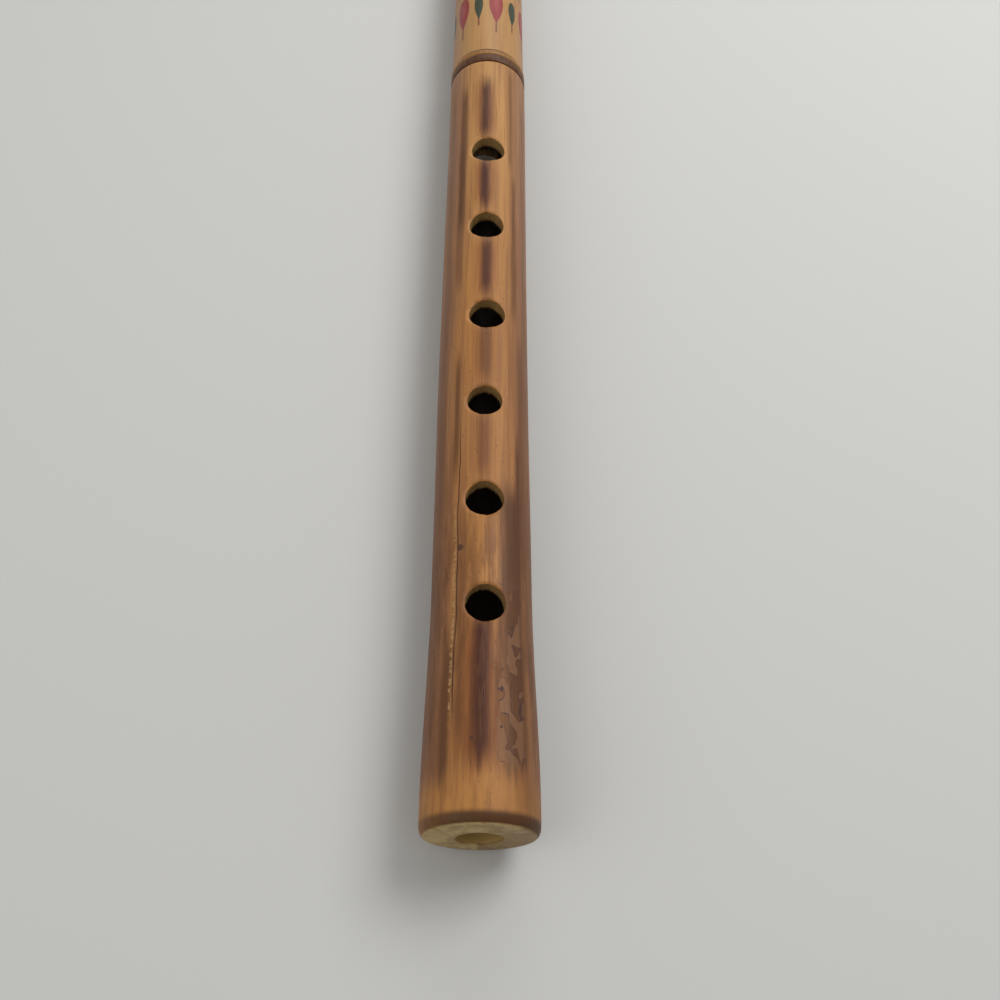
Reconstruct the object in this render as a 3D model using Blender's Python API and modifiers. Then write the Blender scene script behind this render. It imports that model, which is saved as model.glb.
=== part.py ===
"""A two-section cane quena: a flute blown over a notch, with six finger holes and a thumb hole.

Sizes are in metres. The flute lies along Y with its foot at -Y and its finger holes up, and rests on Z = 0.
Each piece is modelled along its own Z, from the foot towards the head, on an empty that lies on the
flute's axis. The lower section is the cane with the foot node. The upper section has the notch. A turned
sleeve joins them: it is a push fit in the upper section, and its corked tenon pulls out of the lower one.
"""

import math

import bmesh
import bpy
from mathutils import Matrix

# Whole flute. A place is a distance along the flute from its foot.
FLUTE_LENGTH = 0.380
JOINT_PLACE = 0.250
BORE_RADIUS = 0.00825
CANE_OVALITY = 0.012
SEAT_GAP = 0.0003
SIDES = 32

# Lower section: the cane swells at the foot node, and its foot edge is rounded off
BODY_RADIUS = 0.0125
BODY_TOP_RADIUS = 0.0124
BODY_BOW = 0.0004
NODE_RADIUS = 0.01372
NODE_PLACE = 0.0070
NODE_FLARE_END = 0.0580
FOOT_EDGE_DEPTH = 0.0013
FOOT_EDGE_LENGTH = 0.0026
BODY_TOP_CHAMFER = 0.0003

# Foot septum, and the hole cut by hand through it, a little low and taller than wide
SEPTUM_THICKNESS = 0.0045
SEPTUM_BOWL_DEPTH = 0.0050
FOOT_HOLE_WIDTH = 0.0108
FOOT_HOLE_HEIGHT = 0.0118
FOOT_HOLE_DROP = 0.0013

# Finger holes from the foot up: place, diameter, and how far off the middle line the drill went
FINGER_HOLES = (
    ("first", 0.0519, 0.0098, 0.0001),
    ("second", 0.0808, 0.0098, -0.0003),
    ("third", 0.1111, 0.0094, -0.0005),
    ("fourth", 0.1409, 0.0101, -0.0001),
    ("fifth", 0.1752, 0.0101, -0.0005),
    ("sixth", 0.2076, 0.0102, -0.0003),
)
THUMB_HOLE_PLACE = 0.2272
THUMB_HOLE_DIAMETER = 0.0090
HOLE_SIDES = 24

# Joint sleeve: collar between the sections, tenon below it, spigot above it
COLLAR_RADIUS = 0.01265
COLLAR_WIDTH = 0.0030
COLLAR_ROUNDING = 0.0005
TENON_RADIUS = 0.0101
TENON_LENGTH = 0.0150
SPIGOT_RADIUS = 0.0099
SPIGOT_LENGTH = 0.0180
CORK_LENGTH = 0.0100
CORK_THICKNESS = 0.0008
CORK_FROM_TENON_END = 0.0025
CORK_STANDS_PROUD = 0.0002

# Upper section: a bead and a scored line are turned at its lower end
HEAD_RADIUS = 0.0120
HEAD_END_RADIUS = 0.0118
BEAD_RADIUS = 0.01245
BEAD_WIDTH = 0.0022
BEAD_ROUNDING = 0.0004
SCORED_LINE_WIDTH = 0.0006
SCORED_LINE_DEPTH = 0.0003
RIM_CHAMFER = 0.0006

# Notch: a window cut down from the rim, and a ramp that thins its lower edge to a lip
NOTCH_WIDTH = 0.0080
NOTCH_DEPTH = 0.0088
NOTCH_CORNER = 0.0026
RAMP_LENGTH = 0.0090
RAMP_SIDE_INSET = 0.0002
LIP_THICKNESS = 0.0004

# Cutters run past the faces that they cut
CUT_OVER = 0.0010
HOLE_CUTTER_TOP = 1.3
SMOOTH_ANGLE = math.radians(30)
ARC_STEPS = 6
CANE_RINGS = 12
MERGE_DISTANCE = 0.00001

# Places that follow from the sizes above
SOCKET_RADIUS = TENON_RADIUS + CORK_STANDS_PROUD + SEAT_GAP
SOCKET_DEPTH = TENON_LENGTH + SEAT_GAP
COLLAR_PLACE = JOINT_PLACE + SEAT_GAP
HEAD_PLACE = COLLAR_PLACE + COLLAR_WIDTH + SEAT_GAP
HEAD_LENGTH = FLUTE_LENGTH - HEAD_PLACE
HEAD_SOCKET_RADIUS = SPIGOT_RADIUS + SEAT_GAP
HEAD_SOCKET_DEPTH = SPIGOT_LENGTH
GROOVE_RADIUS = TENON_RADIUS + CORK_STANDS_PROUD - CORK_THICKNESS - SEAT_GAP
FACET_TURN = math.pi / SIDES
AXIS_HEIGHT = NODE_RADIUS * math.cos(FACET_TURN) * (1 - CANE_OVALITY)


def clear_scene():
    """Remove what is in the scene, its materials and its modifier trees."""
    for obj in list(bpy.data.objects):
        bpy.data.objects.remove(obj, do_unlink=True)
    for stores in (bpy.data.meshes, bpy.data.curves, bpy.data.materials, bpy.data.node_groups):
        for block in list(stores):
            stores.remove(block)


def new_collection(name):
    """Make a collection in the scene."""
    old = bpy.data.collections.get(name)
    if old:
        bpy.data.collections.remove(old)
    made = bpy.data.collections.new(name)
    bpy.context.scene.collection.children.link(made)
    return made


def new_material(name, colour, roughness, metallic=0.0):
    """Make a Principled material."""
    made = bpy.data.materials.new(name)
    made.use_nodes = True
    shader = made.node_tree.nodes["Principled BSDF"]
    shader.inputs["Base Color"].default_value = (*colour, 1.0)
    shader.inputs["Roughness"].default_value = roughness
    shader.inputs["Metallic"].default_value = metallic
    return made


def smooth_by_angle_tree():
    """Make a modifier tree that shades faces smooth and keeps the edges over SMOOTH_ANGLE sharp."""
    tree = bpy.data.node_groups.new("smooth_by_angle", "GeometryNodeTree")
    tree.interface.new_socket("Geometry", in_out="INPUT", socket_type="NodeSocketGeometry")
    tree.interface.new_socket("Geometry", in_out="OUTPUT", socket_type="NodeSocketGeometry")
    start = tree.nodes.new("NodeGroupInput")
    angle = tree.nodes.new("GeometryNodeInputMeshEdgeAngle")
    flat_enough = tree.nodes.new("FunctionNodeCompare")
    flat_enough.operation = "LESS_THAN"
    flat_enough.inputs["B"].default_value = SMOOTH_ANGLE
    faces = tree.nodes.new("GeometryNodeSetShadeSmooth")
    edges = tree.nodes.new("GeometryNodeSetShadeSmooth")
    edges.domain = "EDGE"
    end = tree.nodes.new("NodeGroupOutput")
    tree.links.new(start.outputs["Geometry"], faces.inputs["Geometry"])
    tree.links.new(faces.outputs["Geometry"], edges.inputs["Geometry"])
    tree.links.new(angle.outputs["Unsigned Angle"], flat_enough.inputs["A"])
    tree.links.new(flat_enough.outputs["Result"], edges.inputs["Shade Smooth"])
    tree.links.new(edges.outputs["Geometry"], end.inputs["Geometry"])
    return tree


def arc(centre, radius, start, end):
    """Points of an arc in a profile, as (radius, place), with its angles in degrees."""
    angles = [math.radians(start + (end - start) * i / ARC_STEPS) for i in range(ARC_STEPS + 1)]
    return [(centre[0] + radius * math.cos(a), centre[1] + radius * math.sin(a)) for a in angles]


def smooth_step(value):
    """Rise smoothly from 0 to 1 as value goes from 0 to 1."""
    value = min(max(value, 0.0), 1.0)
    return value * value * (3 - 2 * value)


def turned(name, profile, collection, ring=False):
    """Turn a profile of (radius, place) points round Z; a ring's profile is closed, a solid's meets the axis."""
    points = [(r * math.cos(FACET_TURN), r * math.sin(FACET_TURN), z) for r, z in profile]
    edges = [(i, i + 1) for i in range(len(points) - 1)]
    if ring:
        edges.append((len(points) - 1, 0))
    mesh = bpy.data.meshes.new(name)
    mesh.from_pydata(points, edges, [])
    obj = bpy.data.objects.new(name, mesh)
    collection.objects.link(obj)
    screw = obj.modifiers.new("turn", "SCREW")
    screw.axis = "Z"
    screw.steps = SIDES
    screw.render_steps = SIDES
    screw.use_merge_vertices = True
    screw.merge_threshold = MERGE_DISTANCE
    return obj


def as_mesh(obj):
    """Put an object's evaluated shape into a plain mesh in its place."""
    graph = bpy.context.evaluated_depsgraph_get()
    mesh = bpy.data.meshes.new_from_object(obj.evaluated_get(graph))
    name, collection, placed = obj.name, obj.users_collection[0], obj.matrix_world.copy()
    bpy.data.objects.remove(obj, do_unlink=True)
    body = bmesh.new()
    body.from_mesh(mesh)
    bmesh.ops.remove_doubles(body, verts=body.verts, dist=MERGE_DISTANCE)
    body.to_mesh(mesh)
    body.free()
    made = bpy.data.objects.new(name, mesh)
    made.matrix_world = placed
    collection.objects.link(made)
    return made


def grow_cane(obj, length, bow):
    """Make a turned cane oval, lower than it is wide, and bow it sideways between its ends."""
    for vertex in obj.data.vertices:
        along = vertex.co.z / length
        vertex.co.x = vertex.co.x * (1 + CANE_OVALITY) - bow * math.sin(math.pi * along) ** 2
        vertex.co.y *= 1 - CANE_OVALITY


def place_on_axis(obj, axis, place):
    """Hang an object on the flute's axis, at its place along the flute."""
    obj.parent = axis
    obj.location = (0, 0, place)


def hide_cutter(obj, axis, place):
    """Put a cutter on the flute's axis, and keep it out of the picture."""
    place_on_axis(obj, axis, place)
    obj.hide_render = True
    obj.display_type = "WIRE"


def cut(obj, cutter):
    """Cut one solid out of another."""
    boolean = obj.modifiers.new(cutter.name, "BOOLEAN")
    boolean.operation = "DIFFERENCE"
    boolean.solver = "EXACT"
    boolean.object = cutter


def finish(obj, material, tree):
    """Give a piece its material and its smooth shading."""
    obj.data.materials.clear()
    obj.data.materials.append(material)
    shading = obj.modifiers.new("smooth by angle", "NODES")
    shading.node_group = tree


def body_radius(place):
    """Radius of the lower cane section at a place: swollen at the foot node, straight above it."""
    flare = 1 - smooth_step((place - NODE_PLACE) / (NODE_FLARE_END - NODE_PLACE))
    taper = (BODY_TOP_RADIUS - BODY_RADIUS) * place / JOINT_PLACE
    return BODY_RADIUS + taper * (1 - flare) + (NODE_RADIUS - BODY_RADIUS) * flare


def foot_edge(place):
    """Radius of the rounded foot edge, a quarter ellipse from the end face to the node."""
    along = 1 - place / FOOT_EDGE_LENGTH
    return body_radius(place) - FOOT_EDGE_DEPTH * (1 - math.sqrt(max(0.0, 1 - along * along)))


def body_profile():
    """Outline of the uncut lower section, from its upper end face down to its foot."""
    flare = [NODE_PLACE + (NODE_FLARE_END - NODE_PLACE) * i / CANE_RINGS for i in range(CANE_RINGS + 1)]
    straight_end = JOINT_PLACE - BODY_TOP_CHAMFER
    straight = [NODE_FLARE_END + (straight_end - NODE_FLARE_END) * i / CANE_RINGS for i in range(1, CANE_RINGS + 1)]
    edge = [FOOT_EDGE_LENGTH * i / ARC_STEPS for i in range(ARC_STEPS + 1)]
    outline = [(0, JOINT_PLACE), (body_radius(JOINT_PLACE) - BODY_TOP_CHAMFER, JOINT_PLACE)]
    outline += [(body_radius(place), place) for place in reversed(flare + straight)]
    outline += [(foot_edge(place), place) for place in reversed(edge)]
    return outline + [(0, 0)]


def body_bore_profile():
    """Outline of the bore cutter: socket, bore, and the bowl above the foot septum."""
    socket_end = JOINT_PLACE - SOCKET_DEPTH
    bowl_top = SEPTUM_THICKNESS + SEPTUM_BOWL_DEPTH
    bowl = [(BORE_RADIUS * math.cos(a), bowl_top - SEPTUM_BOWL_DEPTH * math.sin(a))
            for a in (math.pi / 2 * i / ARC_STEPS for i in range(ARC_STEPS + 1))]
    outline = [(0, JOINT_PLACE + CUT_OVER), (SOCKET_RADIUS, JOINT_PLACE + CUT_OVER)]
    outline += [(SOCKET_RADIUS, socket_end), (BORE_RADIUS, socket_end)]
    return outline + bowl[:-1] + [(0, SEPTUM_THICKNESS)]


def sleeve_profile():
    """Closed outline of the joint sleeve about its collar's lower face."""
    spigot_end = COLLAR_WIDTH + SPIGOT_LENGTH
    groove_start = CORK_FROM_TENON_END - TENON_LENGTH
    groove_end = groove_start + CORK_LENGTH + 2 * SEAT_GAP
    round_centre = COLLAR_RADIUS - COLLAR_ROUNDING
    outline = [(BORE_RADIUS, spigot_end), (SPIGOT_RADIUS, spigot_end), (SPIGOT_RADIUS, COLLAR_WIDTH)]
    outline += arc((round_centre, COLLAR_WIDTH - COLLAR_ROUNDING), COLLAR_ROUNDING, 90, 0)
    outline += arc((round_centre, COLLAR_ROUNDING), COLLAR_ROUNDING, 0, -90)
    outline += [(TENON_RADIUS, 0), (TENON_RADIUS, groove_end), (GROOVE_RADIUS, groove_end)]
    outline += [(GROOVE_RADIUS, groove_start), (TENON_RADIUS, groove_start)]
    return outline + [(TENON_RADIUS, -TENON_LENGTH), (BORE_RADIUS, -TENON_LENGTH)]


def cork_profile():
    """Closed outline of the cork, from its lower end."""
    inner = GROOVE_RADIUS + SEAT_GAP
    outer = inner + CORK_THICKNESS
    return [(inner, CORK_LENGTH), (outer, CORK_LENGTH), (outer, 0), (inner, 0)]


def head_profile():
    """Outline of the uncut upper section, from its rim down to its bead."""
    line_end = BEAD_WIDTH + SCORED_LINE_WIDTH
    outline = [(0, HEAD_LENGTH), (HEAD_END_RADIUS - RIM_CHAMFER, HEAD_LENGTH)]
    outline += [(HEAD_END_RADIUS, HEAD_LENGTH - RIM_CHAMFER), (HEAD_RADIUS, line_end)]
    outline += [(HEAD_RADIUS - SCORED_LINE_DEPTH, BEAD_WIDTH + SCORED_LINE_WIDTH / 2)]
    outline += arc((BEAD_RADIUS - BEAD_ROUNDING, BEAD_WIDTH - BEAD_ROUNDING), BEAD_ROUNDING, 90, 0)
    outline += arc((BEAD_RADIUS - BEAD_ROUNDING, BEAD_ROUNDING), BEAD_ROUNDING, 0, -90)
    return outline + [(0, 0)]


def head_bore_profile():
    """Outline of the upper section's bore cutter, with the socket for the spigot."""
    outline = [(0, HEAD_LENGTH + CUT_OVER), (BORE_RADIUS, HEAD_LENGTH + CUT_OVER)]
    outline += [(BORE_RADIUS, HEAD_SOCKET_DEPTH), (HEAD_SOCKET_RADIUS, HEAD_SOCKET_DEPTH)]
    return outline + [(HEAD_SOCKET_RADIUS, -CUT_OVER), (0, -CUT_OVER)]


def hole_cutter(name, diameter, side, collection):
    """A drill across the wall: side is -1 for a finger hole and 1 for the thumb hole, along the piece's Y."""
    length = NODE_RADIUS * HOLE_CUTTER_TOP
    bpy.ops.mesh.primitive_cylinder_add(vertices=HOLE_SIDES, radius=diameter / 2, depth=length)
    drill = bpy.context.object
    drill.name = name
    drill.data.name = name
    drill.data.transform(Matrix.Rotation(math.pi / 2, 4, "X"))
    drill.data.transform(Matrix.Translation((0, side * length / 2, 0)))
    move_to(drill, collection)
    return drill


def move_to(obj, collection):
    """Move an object into a collection."""
    for old in list(obj.users_collection):
        old.objects.unlink(obj)
    collection.objects.link(obj)


def foot_hole_cutter(collection):
    """The hole through the septum, an ellipse that sits a little low."""
    depth = SEPTUM_THICKNESS + SEPTUM_BOWL_DEPTH + CUT_OVER
    bpy.ops.mesh.primitive_cylinder_add(vertices=HOLE_SIDES, radius=0.5, depth=depth)
    cutter = bpy.context.object
    cutter.name = "foot_hole_cutter"
    cutter.data.name = cutter.name
    cutter.data.transform(Matrix.Diagonal((FOOT_HOLE_WIDTH, FOOT_HOLE_HEIGHT, 1, 1)))
    cutter.data.transform(Matrix.Translation((0, FOOT_HOLE_DROP, depth / 2 - CUT_OVER)))
    move_to(cutter, collection)
    return cutter


def notch_cutter(collection):
    """The notch window: a flat outline with rounded lower corners, as thick as half the head."""
    half, corner = NOTCH_WIDTH / 2, NOTCH_CORNER
    bottom, top = HEAD_LENGTH - NOTCH_DEPTH, HEAD_LENGTH + CUT_OVER
    outline = [(half, top), (-half, top)]
    outline += arc((corner - half, bottom + corner), corner, 180, 270)
    outline += arc((half - corner, bottom + corner), corner, 270, 360)
    curve = bpy.data.curves.new("notch_cutter", "CURVE")
    curve.dimensions = "2D"
    curve.fill_mode = "BOTH"
    curve.extrude = HEAD_RADIUS / 2
    spline = curve.splines.new("POLY")
    spline.points.add(len(outline) - 1)
    for point, (x, z) in zip(spline.points, outline):
        point.co = (x, z, 0, 1)
    spline.use_cyclic_u = True
    obj = bpy.data.objects.new("notch_cutter", curve)
    collection.objects.link(obj)
    bpy.context.view_layer.update()
    cutter = as_mesh(obj)
    cutter.data.transform(Matrix.Rotation(math.pi / 2, 4, "X"))
    cutter.data.transform(Matrix.Translation((0, -HEAD_RADIUS / 2 - CUT_OVER, 0)))
    return cutter


def ramp_cutter(collection):
    """The ramp: a block whose lower face runs from the lip at the notch out to the cane's surface."""
    rise = HEAD_RADIUS * (1 - CANE_OVALITY) - BORE_RADIUS - LIP_THICKNESS
    slope = math.atan2(rise, RAMP_LENGTH)
    lip_place = HEAD_LENGTH - NOTCH_DEPTH
    width = NOTCH_WIDTH - 2 * RAMP_SIDE_INSET
    past_lip, past_surface = NOTCH_CORNER, RAMP_LENGTH
    length = past_lip + math.hypot(rise, RAMP_LENGTH) + past_surface
    bpy.ops.mesh.primitive_cube_add(size=1)
    block = bpy.context.object
    block.name = "ramp_cutter"
    block.data.name = block.name
    block.data.transform(Matrix.Diagonal((width, HEAD_RADIUS, length, 1)))
    block.data.transform(Matrix.Translation((0, -HEAD_RADIUS / 2, past_lip - length / 2)))
    block.data.transform(Matrix.Rotation(slope, 4, "X"))
    block.data.transform(Matrix.Translation((0, -BORE_RADIUS - LIP_THICKNESS, lip_place)))
    move_to(block, collection)
    return block


def make_body_tube(axis, parts, cutters):
    """The lower section: cane, bore with its socket, foot hole, finger holes and thumb hole."""
    body = as_mesh(turned("body_tube", body_profile(), parts))
    grow_cane(body, JOINT_PLACE, BODY_BOW)
    place_on_axis(body, axis, 0)
    bore = turned("body_bore_cutter", body_bore_profile(), cutters)
    hide_cutter(bore, axis, 0)
    cut(body, bore)
    foot_hole = foot_hole_cutter(cutters)
    hide_cutter(foot_hole, axis, 0)
    cut(body, foot_hole)
    for name, place, diameter, sideways in FINGER_HOLES:
        drill = hole_cutter(f"{name}_hole_cutter", diameter, -1, cutters)
        hide_cutter(drill, axis, place)
        drill.location.x = sideways
        cut(body, drill)
    thumb = hole_cutter("thumb_hole_cutter", THUMB_HOLE_DIAMETER, 1, cutters)
    hide_cutter(thumb, axis, THUMB_HOLE_PLACE)
    cut(body, thumb)
    return body


def make_tenon_sleeve(axis, parts):
    """The joint sleeve, with its origin at its collar's lower face."""
    sleeve = turned("tenon_sleeve", sleeve_profile(), parts, ring=True)
    place_on_axis(sleeve, axis, COLLAR_PLACE)
    return sleeve


def make_tenon_cork(axis, parts):
    """The cork in the tenon's groove."""
    cork = turned("tenon_cork", cork_profile(), parts, ring=True)
    place_on_axis(cork, axis, COLLAR_PLACE - TENON_LENGTH + CORK_FROM_TENON_END + SEAT_GAP)
    return cork


def make_head_tube(axis, parts, cutters):
    """The upper section: cane, bore with its socket, notch and ramp."""
    head = as_mesh(turned("head_tube", head_profile(), parts))
    grow_cane(head, HEAD_LENGTH, 0)
    place_on_axis(head, axis, HEAD_PLACE)
    bore = turned("head_bore_cutter", head_bore_profile(), cutters)
    for cutter in (bore, notch_cutter(cutters), ramp_cutter(cutters)):
        hide_cutter(cutter, axis, HEAD_PLACE)
        cut(head, cutter)
    return head


def main():
    """Build the flute."""
    clear_scene()
    parts = new_collection("quena")
    cutters = new_collection("cutters")
    axis = bpy.data.objects.new("flute_axis", None)
    axis.location = (0, -FLUTE_LENGTH / 2, AXIS_HEIGHT)
    axis.rotation_euler = (-math.pi / 2, 0, 0)
    parts.objects.link(axis)
    tree = smooth_by_angle_tree()
    cane = new_material("scorched_cane", (0.40, 0.21, 0.085), 0.42)
    pale_cane = new_material("plain_cane", (0.45, 0.26, 0.11), 0.45)
    dark_wood = new_material("dark_hardwood", (0.075, 0.026, 0.017), 0.4)
    cork = new_material("cork", (0.50, 0.31, 0.16), 0.85)
    finish(make_body_tube(axis, parts, cutters), cane, tree)
    finish(make_tenon_sleeve(axis, parts), dark_wood, tree)
    finish(make_tenon_cork(axis, parts), cork, tree)
    finish(make_head_tube(axis, parts, cutters), pale_cane, tree)


main()
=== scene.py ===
"""Looks of the cane quena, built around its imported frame.

The flute lies along Y with its foot at -Y and its finger holes up.
Every piece stands for one node of the frame.
"""

import math

import bmesh
import bpy
from mathutils import Matrix, Vector, noise


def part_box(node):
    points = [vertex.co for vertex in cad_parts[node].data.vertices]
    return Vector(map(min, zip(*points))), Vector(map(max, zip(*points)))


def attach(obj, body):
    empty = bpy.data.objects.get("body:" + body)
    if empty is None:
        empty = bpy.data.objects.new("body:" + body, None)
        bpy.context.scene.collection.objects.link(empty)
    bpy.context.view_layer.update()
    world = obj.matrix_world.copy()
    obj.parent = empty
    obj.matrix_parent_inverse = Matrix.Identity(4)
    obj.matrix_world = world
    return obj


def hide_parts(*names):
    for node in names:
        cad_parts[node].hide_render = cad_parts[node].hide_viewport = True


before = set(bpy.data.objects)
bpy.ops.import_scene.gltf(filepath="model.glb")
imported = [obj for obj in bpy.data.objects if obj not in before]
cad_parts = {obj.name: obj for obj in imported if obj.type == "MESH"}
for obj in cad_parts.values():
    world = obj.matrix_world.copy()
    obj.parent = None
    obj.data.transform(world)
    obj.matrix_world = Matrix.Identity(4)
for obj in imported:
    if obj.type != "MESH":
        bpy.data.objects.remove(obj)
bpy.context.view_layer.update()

bl_info = {
    "name": "Cane quena",
    "version": (1, 0, 0),
    "blender": (4, 5, 0),
    "location": "3D View > Sidebar > Quena",
    "description": "Builds a scorched cane quena with a corked joint, and the studio it lies in",
    "category": "Add Mesh",
}

# Places and sizes that the frame's boxes give, in metres
FOOT_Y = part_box("body_tube")[0][1]
JOINT_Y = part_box("body_tube")[1][1]
HEAD_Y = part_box("head_tube")[0][1]
RIM_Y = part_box("head_tube")[1][1]
SLEEVE_LOW, SLEEVE_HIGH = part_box("tenon_sleeve")
CORK_LOW, CORK_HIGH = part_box("tenon_cork")
AXIS_Z = (SLEEVE_LOW[2] + SLEEVE_HIGH[2]) / 2
NODE_RADIUS = (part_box("body_tube")[1][2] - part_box("body_tube")[0][2]) / 2
COLLAR_RADIUS = (SLEEVE_HIGH[0] - SLEEVE_LOW[0]) / 2
CORK_RADIUS = (CORK_HIGH[0] - CORK_LOW[0]) / 2

# Sizes that no box gives, in metres
MM = 0.001
BORE = 8.25 * MM
BODY_RADIUS = 12.5 * MM
BODY_TAPER = 0.1 * MM
BODY_BOW = 0.4 * MM
FOOT_EDGE_DEPTH = 1.3 * MM
TOP_EDGE_DEPTH = 0.35 * MM
SOCKET_RADIUS = 10.6 * MM
SOCKET_DEPTH = 15.3 * MM
SEPTUM_THICKNESS = 4.5 * MM
FOOT_HOLE_DROP = 1.3 * MM
FOOT_HOLE_HALF_WIDTH = 5.4 * MM
FOOT_HOLE_HALF_HEIGHT = 5.9 * MM
DRILL_HEIGHT = 10.0 * MM
DRILL_LENGTH = 9.0 * MM
TORN_DEPTH = 2.2 * MM
HEAD_RADIUS = 12.0 * MM
HEAD_SOCKET_RADIUS = 10.2 * MM
HEAD_SOCKET_DEPTH = 18 * MM
NOTCH_HALF_WIDTH = 4.0 * MM
NOTCH_DEPTH = 8.8 * MM
NOTCH_CORNER = 2.6 * MM
RAMP_LENGTH = 9.0 * MM
RAMP_WIDTH = 7.6 * MM
RAMP_EASE = 0.8 * MM
LIP_THICKNESS = 0.4 * MM
TENON_RADIUS = 10.1 * MM
SPIGOT_RADIUS = 9.9 * MM
GROOVE_RADIUS = 9.2 * MM
CORK_THICKNESS = 0.9 * MM
COLLAR_GAP = 0.12 * MM
COLLAR_ROUNDING = 0.35 * MM
COLLAR_INSET = 0.02 * MM

# How much wider and lower than round the cane is, as a share of its radius
OVALITY = 0.012

# Places and lengths along the lower cane, in millimetres from the foot
BODY_LENGTH = 250.0
FLARE_START = 7.0
FLARE_LENGTH = 51.0
FOOT_EDGE_LENGTH = 2.6
TOP_EDGE_LENGTH = 0.7
BOWL_END = 9.5
BOWL_DEPTH = 5.0
HOLES = (  # place, diameter and sideways place of the six finger holes
    (51.9, 9.8, 0.1), (80.8, 9.8, -0.3), (111.1, 9.4, -0.5),
    (140.9, 10.1, -0.1), (175.2, 10.1, -0.5), (207.6, 10.2, -0.3),
)
THUMB_HOLE = (227.2, 9.0)  # place and diameter

# Bead, scored line and rim of the upper cane, in millimetres
BEAD_WIDTH = 2.2
BEAD_RADIUS = 12.4
BEAD_ROUNDING = 0.4
SCORE_PLACE = 2.5
SCORE_HALF_WIDTH = 0.3
SCORE_DEPTH = 0.3
HEAD_TAPER = 0.2
RIM_LENGTH = 0.8
RIM_DEPTH = 0.6

# Burn marks on the top: start, end, middle and half width in degrees, strength
BURNS = (
    (12, 50, -4, 10.5, 1.1), (86, 108, -4, 8.0, 0.5), (116, 140, -3, 9.0, 0.6),
    (147, 171, -3, 7.5, 1.0), (181, 204, -6, 7.5, 1.1), (213, 241, -6, 8.0, 1.0),
)
# Long side streaks, the same way, a row each: on the left, on the right, near the foot, far round
STREAKS = (
    (175, 238, -40, 7, 0.7), (150, 212, -42, 7, 0.5), (88, 127, -38, 4.5, 0.75), (8, 42, -41, 8, 0.75),
    (200, 250, 34, 6, 0.5), (140, 200, 38, 6, 0.6), (10, 100, 43, 4.0, 0.8), (60, 135, 50, 7, 0.5),
    (10, 86, 33, 17, 0.95), (10, 70, -24, 8, 0.4), (12, 36, 14, 8, 0.4),
    (12, 236, 62, 9, 0.35), (20, 240, -64, 9, 0.3),
)
# A small knot and two dark dots: degrees, place, radius, strength
SPOTS = ((-30, 67, 1.2, 0.8), (17, 21.3, 0.45, 0.95), (-12, 18.5, 0.7, 0.6))

# Colours of the lower cane
CANE_AT_JOINT = (0.47, 0.245, 0.082)
# Painted shade of the cane's sides near the joint
SIDE_SHADE_AT_JOINT = (0.29, 0.145, 0.078)
BAND_BROWN = (0.27, 0.115, 0.042)
BLOTCH_TAN = (0.38, 0.185, 0.070)
DARK_FIBRE = (0.16, 0.068, 0.030)
LIGHT_FIBRE = (0.50, 0.27, 0.095)
STREAK_BROWN = (0.090, 0.034, 0.014)
BURN_HALO = (0.185, 0.058, 0.018)
PATINA_BROWN = (0.125, 0.050, 0.018)
FOOT_GOLD = (0.43, 0.195, 0.052)
FOOT_BROWN = (0.27, 0.115, 0.034)
# Painted shade on the foot's right side
FOOT_RIGHT_SHADE = (0.185, 0.080, 0.030)
SPECK_BROWN = (0.10, 0.042, 0.022)
CHALK = (0.44, 0.29, 0.13)
CRACK_DARK = (0.045, 0.02, 0.014)
STAIN_TAN = (0.25, 0.125, 0.062)
STAIN_EDGE = (0.05, 0.022, 0.02)
SCRATCH_BROWN = (0.11, 0.05, 0.03)
SPOT_DARK = (0.06, 0.028, 0.018)
# Painted shade on the rounded foot edge
BEVEL_SHADE = (0.062, 0.026, 0.009)
END_GRAIN_DARK = (0.34, 0.215, 0.080)
END_GRAIN_LIGHT = (0.52, 0.385, 0.165)
PORE_BROWN = (0.11, 0.055, 0.022)
# Painted shade on the right side of the foot's end grain
END_GRAIN_RIGHT_SHADE = (0.16, 0.078, 0.026)

# Colours of raw cane in cut walls, and the painted shade of the bore
RAW_LIGHT = (0.42, 0.27, 0.10)
RAW_DARK = (0.20, 0.115, 0.045)
SEPTUM_YELLOW = (0.46, 0.30, 0.10)
# Painted shade inside the bore
BORE_SHADE = (0.045, 0.028, 0.015)

# Colours of the upper cane and its border
# Painted light and shade of the head: its top lighter, its sides darker
HEAD_LIT_TOP = (0.43, 0.24, 0.088)
HEAD_SIDE_SHADE = (0.36, 0.185, 0.085)
HEAD_BLOTCH = (0.35, 0.17, 0.062)
HEAD_BANDS = (0.30, 0.14, 0.058)
HEAD_FIBRE = (0.24, 0.115, 0.045)
BEAD_GOLD = (0.33, 0.165, 0.048)
BEAD_BROWN = (0.22, 0.10, 0.03)
SCORE_DARK = (0.095, 0.045, 0.016)
STEM_BROWN = (0.13, 0.055, 0.03)
LEAF_STEM_RED = (0.16, 0.04, 0.025)
DROP_HEART = (0.36, 0.075, 0.07)
BORDER_LINE = (0.11, 0.045, 0.025)

# Colours of the joint
WOOD_DARK = (0.070, 0.028, 0.012)
WOOD_LIGHT = (0.135, 0.060, 0.026)
WOOD_RINGS = (0.040, 0.016, 0.008)
CORK_LIGHT = (0.50, 0.31, 0.16)
CORK_DARK = (0.36, 0.20, 0.095)
CORK_PITS = (0.10, 0.045, 0.025)

# Gloss of cane and hardwood, and how steep an edge stays sharp
SPECULAR = 0.2
SHARP_DEGREES = 35

# Painted border: degrees from one drop to the next, its middle and its lines in millimetres from the foot
BORDER_STEP = 60.0
BORDER_MIDDLE = 306.0
BORDER_LINES = (292.5, 319.5)
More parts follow.
